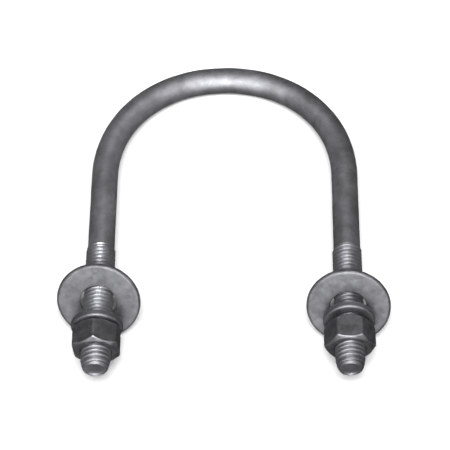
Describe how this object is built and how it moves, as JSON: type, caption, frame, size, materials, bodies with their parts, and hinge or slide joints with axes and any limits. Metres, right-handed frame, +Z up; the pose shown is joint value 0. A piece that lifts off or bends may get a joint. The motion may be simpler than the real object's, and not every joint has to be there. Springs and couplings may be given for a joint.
{
  "type": "u-bolt",
  "caption": "Galvanised U-bolt with threaded legs, each carrying a loose flat washer, a split lock washer and a hex nut; clamps a pipe, rod or rope eye to a plate.",
  "frame": {"origin": "on the ground under the middle of the object's bounding box, lying as it rests on the ground", "axes": "+X across the legs, from the left leg to the right one seen from the nuts; +Y towards the bow, level with the ground; +Z up. The legs rise 4.72 degrees from the bow to the nuts, because they rest in the flat washers"},
  "size_m": [0.142, 0.1612, 0.0319],
  "materials": {
    "rod_zinc": "hot-dip galvanised, dull mottled grey",
    "washer_zinc": "hot-dip galvanised, pale grey with soft spangle",
    "lock_zinc": "hot-dip galvanised, dull grey",
    "nut_zinc": "hot-dip galvanised, dark grey with brighter worn edges"
  },
  "bodies": {
    "u_bolt": {"u_bolt": "rod_zinc"},
    "lock_washer_left": {"lock_washer_left": "lock_zinc"},
    "hex_nut_left": {"hex_nut_left": "nut_zinc"},
    "flat_washer_left": {"flat_washer_left": "washer_zinc"},
    "lock_washer_right": {"lock_washer_right": "lock_zinc"},
    "hex_nut_right": {"hex_nut_right": "nut_zinc"},
    "flat_washer_right": {"flat_washer_right": "washer_zinc"}
  },
  "joints": [
    {"name": "nut_travel_left", "type": "slide", "parent": "u_bolt", "child": "lock_washer_left", "axis": [0, 0.9966, -0.0823], "range_m": [-0.0252, 0.0377]},
    {"name": "nut_turn_left", "type": "hinge", "parent": "lock_washer_left", "child": "hex_nut_left", "pos_m": [-0.05318, -0.066, 0.01739], "axis": [0, 0.9966, -0.0823], "range_deg": [-4600, 6900]},
    {"name": "flat_washer_slide_left", "type": "slide", "parent": "lock_washer_left", "child": "flat_washer_left", "axis": [0, 0.9966, -0.0823], "range_m": [-0.0042, 0.0235]},
    {"name": "nut_travel_right", "type": "slide", "parent": "u_bolt", "child": "lock_washer_right", "axis": [0, 0.9966, -0.0823], "range_m": [-0.029, 0.0358]},
    {"name": "nut_turn_right", "type": "hinge", "parent": "lock_washer_right", "child": "hex_nut_right", "pos_m": [0.05322, -0.06466, 0.01728], "axis": [0, 0.9966, -0.0823], "range_deg": [-5300, 6550]},
    {"name": "flat_washer_slide_right", "type": "slide", "parent": "lock_washer_right", "child": "flat_washer_right", "axis": [0, 0.9966, -0.0823], "range_m": [0, 0.0288]}
  ],
  "couplings": [
    {"joint": "nut_travel_left", "follows": "nut_turn_left", "m_per_rad": 0.00031096},
    {"joint": "nut_travel_right", "follows": "nut_turn_right", "m_per_rad": 0.00031096}
  ]
}
